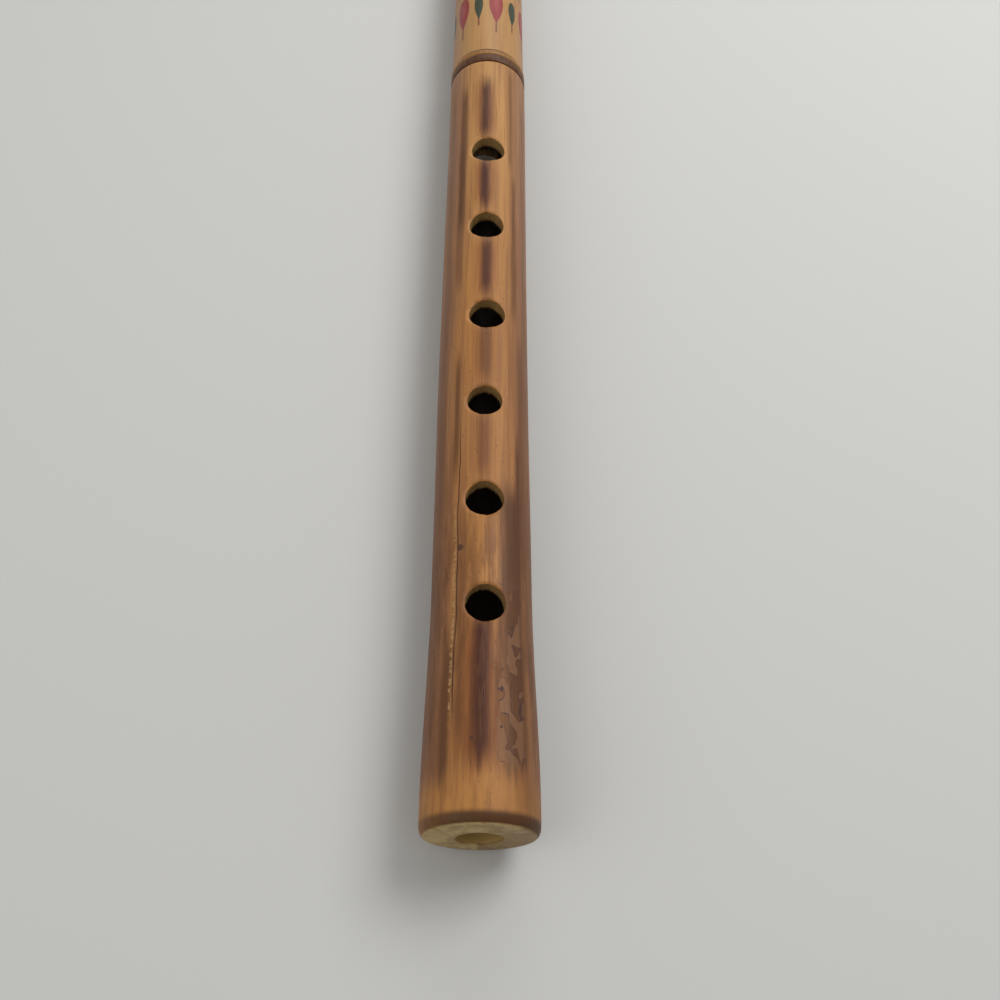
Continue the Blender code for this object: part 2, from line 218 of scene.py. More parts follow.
# Tip, length and half width of a drop, its heart and a leaf, then where their stems start, hold and end
DROP, HEART, LEAF = (271.0, 17.0, 2.7), (277.0, 8.0, 1.1), (273.0, 13.0, 1.7)
DROP_STEM, LEAF_STEM = (265.0, 266.5, 272.0, 273.5), (269.0, 270.0, 274.0, 275.5)
# How many millimetres round the surface a degree is
HEAD_MM_PER_DEGREE = 12.0 * math.pi / 180
BODY_MM_PER_DEGREE = 0.22

# Studio: name, place, size and power of each lamp, then the floor and the sky
LAMPS = (
    ("key", (0.45, 0.25, 0.75), 0.5, 5.2),
    ("fill", (-0.7, -0.3, 0.7), 0.8, 2.4),
    ("back", (0.1, 0.9, 0.6), 0.6, 2.2),
)
FLOOR_COLOUR = (0.56, 0.565, 0.55, 1)
FLOOR_HALF_SIDE = 3.0
SKY_COLOUR = (1.0, 0.965, 0.93, 1)
SKY_STRENGTH = 0.36

# Camera fitted to the photograph: where it stands, which way it looks, which way is up, its lens
CAMERA_PLACE = (-0.01315, FOOT_Y - 0.05396, AXIS_Z + 0.2385)
CAMERA_FORWARD = (0.06417, 0.50865, -0.85858)
CAMERA_UP = (-0.03877, 0.86098, 0.50717)
FOCAL_PIXELS = 1050.0
FRAME_PIXELS = 1000.0
SHIFT_PIXELS = -1.0
SENSOR = 36.0
NEAREST = 0.01


def colour_setting(name, description, default):
    """A setting that holds a colour."""
    return bpy.props.FloatVectorProperty(name=name, description=description, subtype="COLOR",
                                         default=default, min=0, max=1)


class QuenaLooks(bpy.types.PropertyGroup):
    """Sizes and colours of the finish."""

    cane_colour: colour_setting("Cane", "Base colour of the golden cane", (0.40, 0.178, 0.052))
    # The sides' colour is painted shade: the round cane darker and redder away from its top
    side_shade_colour: colour_setting("Cane sides", "Redder brown of the shaded sides", (0.185, 0.076, 0.034))
    burn_colour: colour_setting("Burn marks", "Colour of the scorched stripes", (0.058, 0.016, 0.008))
    red_paint: colour_setting("Red paint", "Painted drops on the head", (0.25, 0.026, 0.034))
    green_paint: colour_setting("Green paint", "Painted leaves on the head", (0.025, 0.045, 0.03))
    rim_wear: bpy.props.FloatProperty(
        name="Hole rim wear", description="How far a finger hole's rim is rounded off",
        default=0.0007, min=0, max=0.002, unit="LENGTH")
    grain_depth: bpy.props.FloatProperty(
        name="Grain depth", description="Depth of the cane's fine lengthwise ribs",
        default=0.00004, min=0, max=0.0005, unit="LENGTH")


def looks():
    """The scene's settings for the quena."""
    return bpy.context.scene.quena_looks


class Graph:
    """Short ways to add nodes to a shader tree or a geometry tree."""

    def __init__(self, tree):
        self.tree = tree

    def node(self, kind, **settings):
        """A new node with its settings."""
        made = self.tree.nodes.new(kind)
        for key, value in settings.items():
            setattr(made, key, value)
        return made

    def feed(self, socket, value):
        """Link another socket to this one, or give it a fixed value."""
        if isinstance(value, bpy.types.NodeSocket):
            self.tree.links.new(value, socket)
        else:
            socket.default_value = value

    def fill(self, made, **values):
        """Feed a node's inputs by name, with underscores for spaces, and give its outputs."""
        for key, value in values.items():
            self.feed(made.inputs[key.replace("_", " ")], value)
        return made.outputs

    def math(self, operation, *values, clamp=False):
        """The result of one operation."""
        made = self.node("ShaderNodeMath", operation=operation, use_clamp=clamp)
        for socket, value in zip(made.inputs, values):
            self.feed(socket, value)
        return made.outputs[0]

    def times(self, product, *others):
        """All values multiplied."""
        for value in others:
            product = self.math("MULTIPLY", product, value)
        return product

    def around_half(self, value, amount):
        """A noise value moved to lie around 0, and made as strong as amount."""
        return self.times(self.math("SUBTRACT", value, 0.5), amount)

    def away(self, value, middle):
        """How far a value lies from a middle, on either side."""
        return self.math("ABSOLUTE", self.math("SUBTRACT", value, middle))

    def ramp(self, value, low, high, out_low=0.0, out_high=1.0):
        """Smoothly from out_low, where the value is low, to out_high, where it is high."""
        made = self.node("ShaderNodeMapRange", interpolation_type="SMOOTHSTEP")
        for socket, given in zip(made.inputs, (value, low, high, out_low, out_high)):
            self.feed(socket, given)
        return made.outputs[0]

    def within(self, value, start, full, fading, end):
        """1 from full to fading, and smoothly down to 0 at start and at end."""
        return self.times(self.ramp(value, start, full), self.ramp(value, end, fading))

    def mix(self, factor, first, second):
        """A colour between two; each is another node's colour, or red, green and blue."""
        made = self.node("ShaderNodeMix", data_type="RGBA", blend_type="MIX")
        first, second = (colour if isinstance(colour, bpy.types.NodeSocket) else (*colour, 1.0)
                         for colour in (first, second))
        return self.fill(made, Factor=factor, A=first, B=second)["Result"]

    def lay(self, colour, mask, tint):
        """Lay a tint over a colour where the mask says."""
        return self.mix(mask, colour, tint)

    def scaled(self, vector, factors):
        """A vector multiplied by a factor for each axis."""
        made = self.node("ShaderNodeVectorMath", operation="MULTIPLY")
        self.feed(made.inputs[0], vector)
        made.inputs[1].default_value = factors
        return made.outputs[0]

    def noise(self, place, scale, detail=3.0, roughness=0.55, distortion=0.0):
        """Noise at a place; the scale is one number, or one for each axis."""
        if isinstance(scale, tuple):
            place, scale = self.scaled(place, scale), 1.0
        return self.fill(self.node("ShaderNodeTexNoise"), Vector=place, Scale=scale, Detail=detail,
                         Roughness=roughness, Distortion=distortion)["Fac"]

    def cells(self, place, scale=1.0):
        """The distance to the nearest of points scattered through space."""
        return self.fill(self.node("ShaderNodeTexVoronoi"), Vector=place, Scale=scale)["Distance"]

    def split(self, vector):
        """A vector's three numbers, by their names."""
        return self.fill(self.node("ShaderNodeSeparateXYZ"), Vector=vector)

    def group(self, tree, **values):
        """The outputs of a node group whose inputs are fed."""
        return self.fill(self.node("ShaderNodeGroup", node_tree=tree), **values)


def add_sockets(tree, inputs, outputs):
    """Give a tree its sockets: inputs of name, kind and default, and outputs of name and kind."""
    for name, kind, default in inputs:
        socket = tree.interface.new_socket(name, in_out="INPUT", socket_type="NodeSocket" + kind)
        if default is not None:
            socket.default_value = default
    for name, kind in outputs:
        tree.interface.new_socket(name, in_out="OUTPUT", socket_type="NodeSocket" + kind)


def start_group(name, inputs, outputs):
    """A new shader group: (tree, graph, its inputs' values, its outputs' sockets)."""
    tree = bpy.data.node_groups.new(name, "ShaderNodeTree")
    add_sockets(tree, inputs, outputs)
    g = Graph(tree)
    return tree, g, g.node("NodeGroupInput").outputs, g.node("NodeGroupOutput").inputs


def round_cane_group():
    """Degrees round from the top, and millimetres from the foot, the axis and the origin."""
    outputs = (("Angle", "Float"), ("Along", "Float"), ("Radius", "Float"), ("Place", "Vector"))
    tree, g, _, result = start_group("round_the_cane", (), outputs)
    place = g.node("ShaderNodeTexCoord").outputs["Object"]
    split = g.split(place)
    up = g.math("SUBTRACT", split["Z"], AXIS_Z)
    squares = g.math("ADD", g.math("POWER", split["X"], 2.0), g.math("POWER", up, 2.0))
    g.feed(result["Angle"], g.times(g.math("ARCTAN2", split["X"], up), 180 / math.pi))
    g.feed(result["Along"], g.times(g.math("SUBTRACT", split["Y"], FOOT_Y), 1000.0))
    g.feed(result["Radius"], g.times(g.math("SQRT", squares), 1000.0))
    g.feed(result["Place"], g.scaled(place, (1000.0, 1000.0, 1000.0)))
    return tree


def cane_grain_group():
    """Lengthwise cane fibre: fine light and dark lines, broader bands, and a height for the bump."""
    outputs = (("Fine", "Float"), ("Bands", "Float"), ("Height", "Float"))
    tree, g, given, result = start_group("cane_grain", (("Place", "Vector", None),), outputs)
    fine = g.noise(given["Place"], (3.2, 0.05, 3.2), 4.0, 0.6)
    fibres = g.noise(given["Place"], (5.5, 0.12, 5.5), 2.0)
    g.feed(result["Fine"], fine)
    g.feed(result["Bands"], g.noise(given["Place"], (0.55, 0.018, 0.55), 3.0, 0.55, 0.3))
    g.feed(result["Height"], g.math("ADD", g.times(fine, 0.6), g.times(fibres, 0.4)))
    return tree


def streak_group():
    """A soft-edged streak along the cane, ragged by a noise value."""
    inputs = (("Angle", "Float", 0.0), ("Along", "Float", 0.0), ("Ragged", "Float", 0.5),
              ("Start", "Float", 0.0), ("End", "Float", 1.0), ("Middle", "Float", 0.0),
              ("Half Width", "Float", 5.0), ("Fade", "Float", 6.0), ("Strength", "Float", 1.0))
    tree, g, given, result = start_group("cane_streak", inputs, (("Mask", "Float"),))
    wander = g.around_half(given["Ragged"], g.times(given["Half Width"], 0.8))
    off = g.away(g.math("ADD", given["Angle"], wander), given["Middle"])
    across = g.ramp(g.math("DIVIDE", off, given["Half Width"]), 1.35, 0.2)
    along = g.math("ADD", given["Along"], g.around_half(given["Ragged"], 10.0))
    past_start = g.math("DIVIDE", g.math("SUBTRACT", along, given["Start"]), given["Fade"])
    before_end = g.math("DIVIDE", g.math("SUBTRACT", given["End"], along), given["Fade"])
    mask = g.times(across, g.ramp(past_start, -0.5, 0.8), g.ramp(before_end, -0.5, 0.8))
    g.feed(result["Mask"], g.math("MULTIPLY", mask, given["Strength"], clamp=True))
    return tree


def drop_group():
    """A painted drop on the unrolled surface: pointed at its lower end, round at the other."""
    inputs = (("Across", "Float", 0.0), ("Along", "Float", 0.0), ("Tip", "Float", 0.0),
              ("Length", "Float", 10.0), ("Half Width", "Float", 2.0), ("Soft", "Float", 0.12))
    tree, g, given, result = start_group("painted_drop", inputs, (("Mask", "Float"),))
    from_tip = g.math("SUBTRACT", given["Along"], given["Tip"])
    part = g.math("DIVIDE", from_tip, given["Length"], clamp=True)
    swell = g.times(g.math("POWER", part, 0.9), g.math("SQRT", g.math("SUBTRACT", 1.0, part)))
    half = g.times(swell, 2.4, given["Half Width"])
    inside = g.math("SUBTRACT", half, g.math("ABSOLUTE", given["Across"]))
    g.feed(result["Mask"], g.ramp(inside, 0.0, given["Soft"]))
    return tree


def node_groups():
    """The node groups that the materials share, made once."""
    makers = {"where": ("round_the_cane", round_cane_group), "grain": ("cane_grain", cane_grain_group),
              "streak": ("cane_streak", streak_group), "drop": ("painted_drop", drop_group)}
    return {key: bpy.data.node_groups.get(name) or maker() for key, (name, maker) in makers.items()}


def start_material(name):
    """A material with a Principled shader: (material, graph, shader)."""
    material = bpy.data.materials.new(name)
    material.use_nodes = True
    tree = material.node_tree
    return material, Graph(tree), tree.nodes["Principled BSDF"]


def finish_shader(g, shader, colour, roughness, height, depth):
    """Feed a shader its colour and roughness, and its normal from a height."""
    normal = g.fill(g.node("ShaderNodeBump"), Strength=1.0, Distance=depth, Height=height)["Normal"]
    g.fill(shader, Normal=normal, Base_Color=colour, Roughness=roughness)


def raw_cane(g, colour, where, grain, surface):
    """Show raw cane in cut walls below the surface, yellow in the foot's hole, and painted shade in the bore.
    """
    radius, along = where["Radius"], where["Along"]
    pith = g.mix(g.ramp(grain["Fine"], 0.3, 0.7), RAW_LIGHT, RAW_DARK)
    cut = g.ramp(radius, g.math("SUBTRACT", surface, 0.55), g.math("SUBTRACT", surface, 1.0))
    colour = g.mix(g.times(cut, g.ramp(along, 0.3, 0.7)), colour, pith)
    colour = g.lay(colour, g.times(g.ramp(radius, 8.2, 7.6), g.ramp(along, 0.3, 0.8)), SEPTUM_YELLOW)
    # Painted shade: the bore dark inside
    return g.lay(colour, g.times(g.ramp(radius, 9.2, 8.4), g.ramp(along, 3.0, 9.0)), BORE_SHADE)


def golden_ground(g, where, grain, blotch):
    """Golden cane with painted shade round its sides, darker and redder there, and paler towards the joint,
    with bands and fibres.
    """
    along = where["Along"]
    # Painted shade: the cane turns darker and redder as its surface turns away from the top
    turn = g.math("ADD", g.away(where["Angle"], -3.0), g.around_half(grain["Bands"], 70.0))
    top = g.lay(looks().cane_colour, g.ramp(along, 120.0, 245.0), CANE_AT_JOINT)
    side = g.lay(looks().side_shade_colour, g.ramp(along, 60.0, 230.0), SIDE_SHADE_AT_JOINT)
    colour = g.mix(g.ramp(turn, 17.0, 56.0), top, side)
    colour = g.lay(colour, g.ramp(grain["Bands"], 0.42, 0.68, 0.0, 0.55), BAND_BROWN)
    colour = g.lay(colour, g.ramp(blotch, 0.45, 0.75, 0.0, 0.4), BLOTCH_TAN)
    colour = g.lay(colour, g.ramp(grain["Fine"], 0.52, 0.72, 0.0, 0.42), DARK_FIBRE)
    return g.lay(colour, g.ramp(grain["Fine"], 0.44, 0.28, 0.0, 0.3), LIGHT_FIBRE)


def scorch(g, groups, colour, where, ragged):
    """Lay on the side streaks, then each burn mark as a red-brown halo with a dark core."""
    def streak(start, end, middle, half, fade, strength):
        return g.group(groups["streak"], Angle=where["Angle"], Along=where["Along"], Ragged=ragged,
                       Start=start, End=end, Middle=middle, Half_Width=half, Fade=fade,
                       Strength=strength)["Mask"]
    for start, end, middle, half, strength in STREAKS:
        colour = g.lay(colour, streak(start, end, middle, half, 9.0, strength), STREAK_BROWN)
    for start, end, middle, half, strength in BURNS:
        halo = streak(start, end, middle, half * 2.3, 9.0, strength * 0.72)
        core = streak(start, end, middle, half, 8.0, strength * 0.88)
        colour = g.lay(colour, halo, BURN_HALO)
        colour = g.lay(colour, core, looks().burn_colour)
    return colour


def lower_cane_material(groups):
    """Scorched golden cane: burnt stripes, side streaks, a crack, stains, specks and a worn foot, with
    painted shade round the sides, on the foot's right side and in the bore.
    """
    material, g, shader = start_material("scorched_cane_finish")
    where = g.group(groups["where"])
    grain = g.group(groups["grain"], Place=where["Place"])
    angle, along, place = where["Angle"], where["Along"], where["Place"]
    ragged = g.noise(place, (0.9, 0.06, 0.9), 4.0, 0.6)
    blotch = g.noise(place, (0.16, 0.03, 0.16), 3.0)
    patches = g.noise(place, (0.42, 0.07, 0.42), 4.0, 0.6)
    colour = scorch(g, groups, golden_ground(g, where, grain, blotch), where, ragged)
    patina = g.times(g.within(along, 12.0, 26.0, 60.0, 92.0), g.ramp(patches, 0.40, 0.62, 0.0, 0.62))
    colour = g.lay(colour, patina, PATINA_BROWN)
    colour = crack_and_marks(g, colour, where, ragged)
    clean_foot = g.ramp(g.math("ADD", along, g.times(ragged, 7.0)), 17.0, 9.0, 0.0, 0.85)
    foot = g.mix(g.ramp(patches, 0.38, 0.72), FOOT_GOLD, FOOT_BROWN)
    # Painted shade: the foot darker towards its right side
    foot = g.lay(foot, g.ramp(angle, 5.0, 60.0, 0.0, 0.6), FOOT_RIGHT_SHADE)
    colour = g.mix(clean_foot, colour, foot)
    specks = g.ramp(g.cells(g.scaled(place, (0.8, 0.45, 0.8))), 0.16, 0.07, 0.0, 0.75)
    colour = g.lay(colour, g.times(specks, g.ramp(blotch, 0.35, 0.6)), SPECK_BROWN)
    colour = foot_face(g, colour, where)
    colour = raw_cane(g, colour, where, grain, g.ramp(along, 14.0, 7.0, 12.35, 10.4))
    worn = g.math("ADD", grain["Fine"], g.times(blotch, 0.5))
    g.fill(shader, Specular_IOR_Level=SPECULAR)
    finish_shader(g, shader, colour, g.ramp(worn, 0.4, 1.1, 0.34, 0.58), grain["Height"],
                  looks().grain_depth * 3)
    return material


def crack_and_marks(g, colour, where, ragged):
    """The crack on the left with its chalky edge, the stains on the right, a scratch and the spots."""
    angle, along, place = where["Angle"], where["Along"], where["Place"]
    wavy = g.math("ADD", angle, g.around_half(g.noise(place, (0.05, 0.09, 0.05), 2.0), 5.0))
    flecks = g.ramp(g.noise(place, 1.1, 2.0), 0.46, 0.56)
    chalk = g.times(g.ramp(g.away(wavy, -36.5), 2.2, 0.8), g.within(along, 16.0, 26.0, 70.0, 84.0))
    crack = g.ramp(g.away(wavy, -33.0), 1.1, 0.35, 0.0, 0.9)
    colour = g.lay(colour, g.times(chalk, flecks, 0.6), CHALK)
    colour = g.lay(colour, g.times(g.within(along, 18.0, 30.0, 92.0, 112.0), crack), CRACK_DARK)
    stains = g.noise(place, (0.30, 0.15, 0.30), 1.5, 0.45, 0.8)
    zone = g.times(g.within(angle, 10.0, 16.0, 38.0, 48.0), g.within(along, 10.0, 15.0, 48.0, 60.0))
    edge = g.ramp(g.away(stains, 0.52), 0.016, 0.004)
    colour = g.lay(colour, g.times(zone, g.ramp(stains, 0.50, 0.54, 0.0, 0.5)), STAIN_TAN)
    colour = g.lay(colour, g.times(zone, edge, 0.9), STAIN_EDGE)
    scratch = g.ramp(g.away(along, g.math("ADD", 56.6, g.times(ragged, 0.9))), 0.32, 0.1)
    colour = g.lay(colour, g.times(scratch, g.within(angle, 15.0, 18.0, 40.0, 44.0), 0.75), SCRATCH_BROWN)
    for at_angle, at_along, size, strength in SPOTS:
        across = g.times(g.math("SUBTRACT", angle, at_angle), BODY_MM_PER_DEGREE)
        down = g.math("SUBTRACT", along, at_along)
        squares = g.math("ADD", g.math("POWER", across, 2.0), g.math("POWER", down, 2.0))
        colour = g.lay(colour, g.ramp(g.math("SQRT", squares), size, size * 0.5, 0.0, strength), SPOT_DARK)
    return colour


def foot_face(g, colour, where):
    """The cut end of the foot: olive end grain with pores, painted shade towards its right side, and painted
    shade on the rounded edge above it.
    """
    angle, along, radius, place = where["Angle"], where["Along"], where["Radius"], where["Place"]
    # Painted shade on the rounded foot edge, strongest towards the top
    bevel = g.times(g.ramp(along, 3.6, 2.0), g.ramp(radius, 10.9, 11.6))
    top_side = g.ramp(g.away(angle, 22.0), 120.0, 40.0, 0.35, 0.92)
    colour = g.lay(colour, g.times(bevel, top_side), BEVEL_SHADE)
    mottled = g.ramp(g.noise(place, 0.35, 4.0, 0.6), 0.35, 0.65)
    pores = g.ramp(g.cells(g.scaled(place, (1.7, 1.7, 1.7))), 0.22, 0.1, 0.0, 0.6)
    end_grain = g.mix(mottled, END_GRAIN_DARK, END_GRAIN_LIGHT)
    end_grain = g.lay(end_grain, pores, PORE_BROWN)
    # Painted shade: the end grain darker towards the right
    end_grain = g.lay(end_grain, g.ramp(angle, -20.0, 110.0, 0.0, 0.55), END_GRAIN_RIGHT_SHADE)
    face = g.times(g.ramp(along, 0.55, 0.25), g.ramp(radius, 13.2, 12.5))
    return g.mix(face, colour, end_grain)


def upper_cane_material(groups):
    """Plain varnished cane with a painted border, a golden bead and a scored line."""
    material, g, shader = start_material("plain_cane_finish")
    where = g.group(groups["where"])
    grain = g.group(groups["grain"], Place=where["Place"])
    angle, along = where["Angle"], where["Along"]
    blotch = g.noise(where["Place"], (0.14, 0.02, 0.14), 3.0)
    # Painted light and shade: lighter on top, darker round the sides
    colour = g.mix(g.ramp(g.math("ABSOLUTE", angle), 20.0, 95.0), HEAD_LIT_TOP, HEAD_SIDE_SHADE)
    colour = g.lay(colour, g.ramp(blotch, 0.42, 0.7, 0.0, 0.4), HEAD_BLOTCH)
    colour = g.lay(colour, g.ramp(grain["Bands"], 0.5, 0.72, 0.0, 0.35), HEAD_BANDS)
    colour = g.lay(colour, g.ramp(grain["Fine"], 0.54, 0.74, 0.0, 0.35), HEAD_FIBRE)
    colour = painted_border(g, groups, colour, angle, along, grain)
    bead = g.mix(g.ramp(grain["Fine"], 0.35, 0.65), BEAD_GOLD, BEAD_BROWN)
    colour = g.mix(g.ramp(along, 256.0, 255.7), colour, bead)
    colour = g.lay(colour, g.times(g.ramp(g.away(along, 256.1), 0.5, 0.2), 0.9), SCORE_DARK)
    colour = raw_cane(g, colour, where, grain, 11.95)
    g.fill(shader, Specular_IOR_Level=SPECULAR)
    finish_shader(g, shader, colour, g.ramp(grain["Fine"], 0.35, 0.75, 0.32, 0.48), grain["Height"],
                  looks().grain_depth * 2)
    return material


def painted_border(g, groups, colour, angle, along, grain):
    """Two rows of painted drops and leaves, tips outwards, and two brown lines round the head."""
    def repeated(shift):
        turned = g.math("FLOORED_MODULO", g.math("ADD", angle, shift), BORDER_STEP)
        return g.times(g.math("SUBTRACT", turned, BORDER_STEP / 2), HEAD_MM_PER_DEGREE)

    def drop(side, run, tip, length, half):
        return g.group(groups["drop"], Across=side, Along=run, Tip=tip, Length=length,
                       Half_Width=half)["Mask"]

    def stem(side, run, edge, span):
        return g.times(g.ramp(g.math("ABSOLUTE", side), edge, 0.2), g.within(run, *span))

    drops = repeated(380.0)
    leaves = g.math("ADD", repeated(350.0), g.around_half(grain["Fine"], 0.8))
    for run in (along, g.math("SUBTRACT", 2 * BORDER_MIDDLE, along)):
        colour = g.lay(colour, g.times(stem(drops, run, 0.42, DROP_STEM), 0.85), STEM_BROWN)
        colour = g.lay(colour, g.times(stem(leaves, run, 0.5, LEAF_STEM), 0.8), LEAF_STEM_RED)
        colour = g.lay(colour, g.times(drop(drops, run, *DROP), 0.93), looks().red_paint)
        colour = g.lay(colour, g.times(drop(drops, run, *HEART), 0.5), DROP_HEART)
        colour = g.lay(colour, g.times(drop(leaves, run, *LEAF), 0.95), looks().green_paint)
    for middle in BORDER_LINES:
        colour = g.lay(colour, g.times(g.ramp(g.away(along, middle), 0.5, 0.25), 0.85), BORDER_LINE)
    return colour


def hardwood_material(groups):
    """Dark polished hardwood of the sleeve, with fine turned rings."""
    material, g, shader = start_material("dark_hardwood_finish")
    place = g.group(groups["where"])["Place"]
    streaks = g.noise(place, (1.6, 0.12, 1.6), 4.0, 0.6)
    rings = g.noise(place, (0.05, 3.5, 0.05), 2.0)
    colour = g.mix(g.ramp(streaks, 0.35, 0.68), WOOD_DARK, WOOD_LIGHT)
    colour = g.lay(colour, g.ramp(rings, 0.5, 0.7, 0.0, 0.35), WOOD_RINGS)
    g.fill(shader, Specular_IOR_Level=SPECULAR)
    finish_shader(g, shader, colour, g.ramp(streaks, 0.3, 0.7, 0.38, 0.54),
                  g.math("ADD", streaks, g.times(rings, 0.6)), 0.00005)
    return material


def cork_material(groups):
    """Matt tenon cork: pale grains with dark pits."""
    material, g, shader = start_material("cork_finish")
    place = g.group(groups["where"])["Place"]
    cells = g.cells(place, 1.1)
    pits = g.noise(place, 0.9, 3.0, 0.6)
    colour = g.mix(g.ramp(cells, 0.1, 0.6), CORK_LIGHT, CORK_DARK)
    colour = g.lay(colour, g.ramp(pits, 0.58, 0.68, 0.0, 0.85), CORK_PITS)
    finish_shader(g, shader, colour, g.ramp(pits, 0.3, 0.7, 0.62, 0.88),
                  g.math("SUBTRACT", cells, pits), 0.0002)
    return material


def smooth_step(value):
    """Rise smoothly from 0 to 1 as value goes from 0 to 1."""
    value = min(max(value, 0.0), 1.0)
    return value * value * (3 - 2 * value)


def round_off(part):
    """The drop of a rounded edge: 0 where part is 0, and 1 at the edge, where part is 1."""
    return 1 - math.sqrt(max(0.0, 1 - part ** 2))


def noise_round(angle, spread, along):
    """Noise that closes on itself round the cane."""
    return noise.noise(Vector((math.sin(angle) * spread, math.cos(angle) * spread, along)))


def body_radius(along):
    """The lower cane's radius, with along in millimetres from the foot."""
    flare = 1 - smooth_step((along - FLARE_START) / FLARE_LENGTH)
    straight = BODY_RADIUS - BODY_TAPER * along / BODY_LENGTH
    return straight + (NODE_RADIUS / (1 - OVALITY) - straight) * flare


def body_outline(along):
    """The lower cane's radius with its rounded foot edge and its rubbed upper edge."""
    radius = body_radius(along)
    if along < FOOT_EDGE_LENGTH:
        radius -= FOOT_EDGE_DEPTH * round_off(1 - along / FOOT_EDGE_LENGTH)
    top = BODY_LENGTH - along
    if top < TOP_EDGE_LENGTH:
        radius -= TOP_EDGE_DEPTH * (1 - top / TOP_EDGE_LENGTH) ** 2
    return radius


def hollow_near_holes(x, along, front):
    """How deep the surface is worn round the finger holes, or round the thumb hole behind."""
    wear = looks().rim_wear / MM
    holes = HOLES if front else ((*THUMB_HOLE, 0.0),)
    for place, diameter, sideways in holes:
        right, up = x / MM - sideways, along - place
        away = math.hypot(right, up) - diameter / 2
        if away > 2.0:
            continue
        turn = math.atan2(up, right)
        ragged = noise.noise(Vector((math.cos(turn) * 2.2, math.sin(turn) * 2.2, place)))
        width = wear * (1.1 + 0.8 * ragged)
        part = min(max(1 - away / width, 0.0), 1.0)
        return 0.75 * width * MM * round_off(part)
    return 0.0


def lower_cane_surface(angle, along):
    """A point of the lower cane: oval, bowed, slightly uneven, and worn at its holes."""
    wobble = 0.10 * noise_round(angle, 0.8, along * 0.02) * smooth_step(along / 40.0)
    ribs = 0.035 * noise_round(angle, 9, along * 0.015)
    radius = body_outline(along) + (wobble + ribs) * MM - 0.05 * MM
    x, z = radius * math.sin(angle), radius * math.cos(angle)
    bow = BODY_BOW * math.sin(math.pi * along / BODY_LENGTH) ** 2
    scale = (radius - hollow_near_holes(x, along, z > 0)) / radius
    return (x * scale * (1 + OVALITY) - bow, FOOT_Y + along * MM, AXIS_Z + z * scale * (1 - OVALITY))


def head_outline(along):
    """The upper cane's radius, with along in millimetres from the bead's lower end."""
    length = (RIM_Y - HEAD_Y) / MM
    if along <= BEAD_WIDTH:
        edge = min(along, BEAD_WIDTH - along, BEAD_ROUNDING)
        return (BEAD_RADIUS - BEAD_ROUNDING * round_off(1 - edge / BEAD_ROUNDING)) * MM
    if along < SCORE_PLACE + SCORE_HALF_WIDTH:
        return HEAD_RADIUS - SCORE_DEPTH * (1 - abs(along - SCORE_PLACE) / SCORE_HALF_WIDTH) * MM
    drop = HEAD_TAPER * along / length
    rim = length - along
    if rim < RIM_LENGTH:
        drop += RIM_DEPTH * round_off(1 - rim / RIM_LENGTH)
    return HEAD_RADIUS - drop * MM


def head_surface(angle, along):
    """A point of the upper cane, slightly uneven above its bead."""
    radius = head_outline(along)
    if along > 3.0:
        radius += 0.05 * MM * noise_round(angle, 1.2, 7 + along * 0.02)
    x, z = radius * math.sin(angle), radius * math.cos(angle)
    return (x * (1 + OVALITY), HEAD_Y + along * MM, AXIS_Z + z * (1 - OVALITY))


def foot_hole_surface(angle, place):
    """A point of the tool that cuts the foot's hole: an uneven oval that opens outwards."""
    uneven = 1 + 0.05 * noise_round(angle, 1.5, 3.0)
    uneven *= 1 + 0.10 * smooth_step(1 - place / 1.6)
    return (FOOT_HOLE_HALF_WIDTH * uneven * math.sin(angle), FOOT_Y + (place - 1.0) * MM,
            AXIS_Z - FOOT_HOLE_DROP + FOOT_HOLE_HALF_HEIGHT * uneven * math.cos(angle))


def dense_places(length, marks, step, fine, reach):
    """Places from 0 to length: step apart, and fine apart within reach of each mark."""
    places, at = [], 0.0
    while at < length:
        places.append(at)
        near = any(abs(at - mark) < reach for mark in marks)
        at += fine if near else step
    return places + [length]


def dense_angles(step, fine, spans):
    """Angles all round in degrees: step apart, and fine apart inside the spans."""
    angles, at = [], -180.0
    while at < 180.0 - fine / 2:
        angles.append(at)
        near = any(low <= at < high for low, high in spans)
        at += fine if near else step
    return angles


def link_mesh(name, body):
    """Put a bmesh into a new object in the scene."""
    mesh = bpy.data.meshes.new(name)
    body.to_mesh(mesh)
    body.free()
    obj = bpy.data.objects.new(name, mesh)
    bpy.context.scene.collection.objects.link(obj)
    return obj


def link_solid(name, body):
    """Turn a closed bmesh's faces outwards and put it into a new object."""
    bmesh.ops.recalc_face_normals(body, faces=body.faces)
    return link_mesh(name, body)


def next_pairs(count):
    """Each index of a closed ring with the one after it."""
    return [(i, (i + 1) % count) for i in range(count)]


def closed_tube(name, places, angles, surface, ends):
    """A closed solid of rings with a fan at each end; surface(angle, place) gives a point."""
    body = bmesh.new()
    rings = [[body.verts.new(surface(math.radians(a), p)) for a in angles] for p in places]
    pairs = next_pairs(len(angles))
    for low, high in zip(rings, rings[1:]):
        for i, j in pairs:
            body.faces.new((low[i], low[j], high[j], high[i]))
    first, last = (body.verts.new(end) for end in ends)
    for i, j in pairs:
        body.faces.new((rings[0][j], rings[0][i], first))
        body.faces.new((rings[-1][i], rings[-1][j], last))
    return link_solid(name, body)


